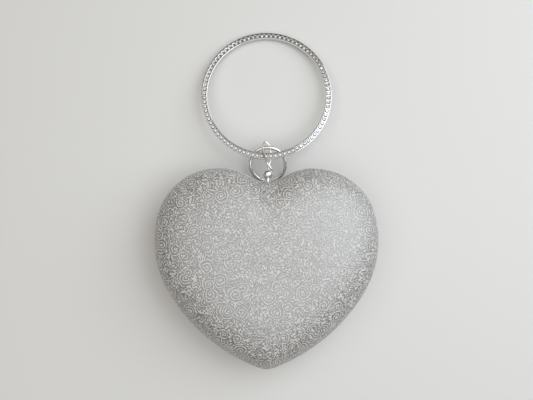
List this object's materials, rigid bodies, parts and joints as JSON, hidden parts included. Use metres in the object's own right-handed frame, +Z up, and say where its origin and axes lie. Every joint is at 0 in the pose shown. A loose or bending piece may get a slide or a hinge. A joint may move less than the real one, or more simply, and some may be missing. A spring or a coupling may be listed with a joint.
{
  "type": "heart-shaped evening clutch",
  "caption": "Heart-shaped hard-shell clutch with a tip hinge, push-ball catch and a stone-set ring handle on a twisted link.",
  "frame": {"origin": "centre of the flat resting face under the back dome", "axes": "+Z up out of the resting face, +Y towards the cleft and handle, +X to the right seen from the front"},
  "size_m": [0.1696, 0.2603, 0.0559],
  "materials": {
    "glitter_cloth": "metallic glitter with raised scrollwork",
    "shell": "moulded",
    "lining": "satin",
    "metal": "polished silver plate",
    "steel": "plain",
    "stones": "cut crystal"
  },
  "bodies": {
    "back": {"back_cover": "glitter_cloth", "back_shell": "shell", "back_lining": "lining", "back_frame": "metal", "back_hinge_leaf": "steel", "hinge_pin": "steel", "back_hinge_rivets": "steel", "handle_eye": "metal", "keeper": "steel"},
    "lid": {"front_cover": "glitter_cloth", "front_shell": "shell", "front_lining": "lining", "front_frame": "metal", "front_hinge_leaf": "steel", "front_hinge_rivets": "steel", "catch_housing": "steel", "catch_screws": "steel", "catch_spring": "steel"},
    "catch": {"catch_ball": "metal", "catch_stem": "metal", "latch_plate": "steel", "latch_nut": "steel"},
    "link": {"twisted_link": "metal"},
    "o_ring": {"o_ring": "metal"},
    "handle": {"handle_ring": "metal", "handle_stones": "stones"}
  },
  "joints": [
    {"name": "lid_hinge", "type": "hinge", "parent": "back", "child": "lid", "pos_m": [0, -0.0726, 0.028], "axis": [1, 0, 0], "range_deg": [0, 95]},
    {"name": "catch_push", "type": "slide", "parent": "lid", "child": "catch", "axis": [0, -1, 0], "range_m": [0, 0.0012], "stiffness_N_per_m": 300, "deforming": ["catch_spring"]},
    {"name": "link_swing", "type": "hinge", "parent": "back", "child": "link", "pos_m": [0.0014, 0.071, 0.0245], "axis": [1, 0, 0], "range_deg": [-20, 20]},
    {"name": "o_ring_swing", "type": "hinge", "parent": "link", "child": "o_ring", "pos_m": [0.0011, 0.0949, 0.0157], "axis": [-1, 0, 0], "range_deg": [-45, 5]},
    {"name": "handle_swing", "type": "hinge", "parent": "link", "child": "handle", "pos_m": [0, 0.0877, 0.0185], "axis": [1, 0, 0], "range_deg": [-15, 100]}
  ]
}
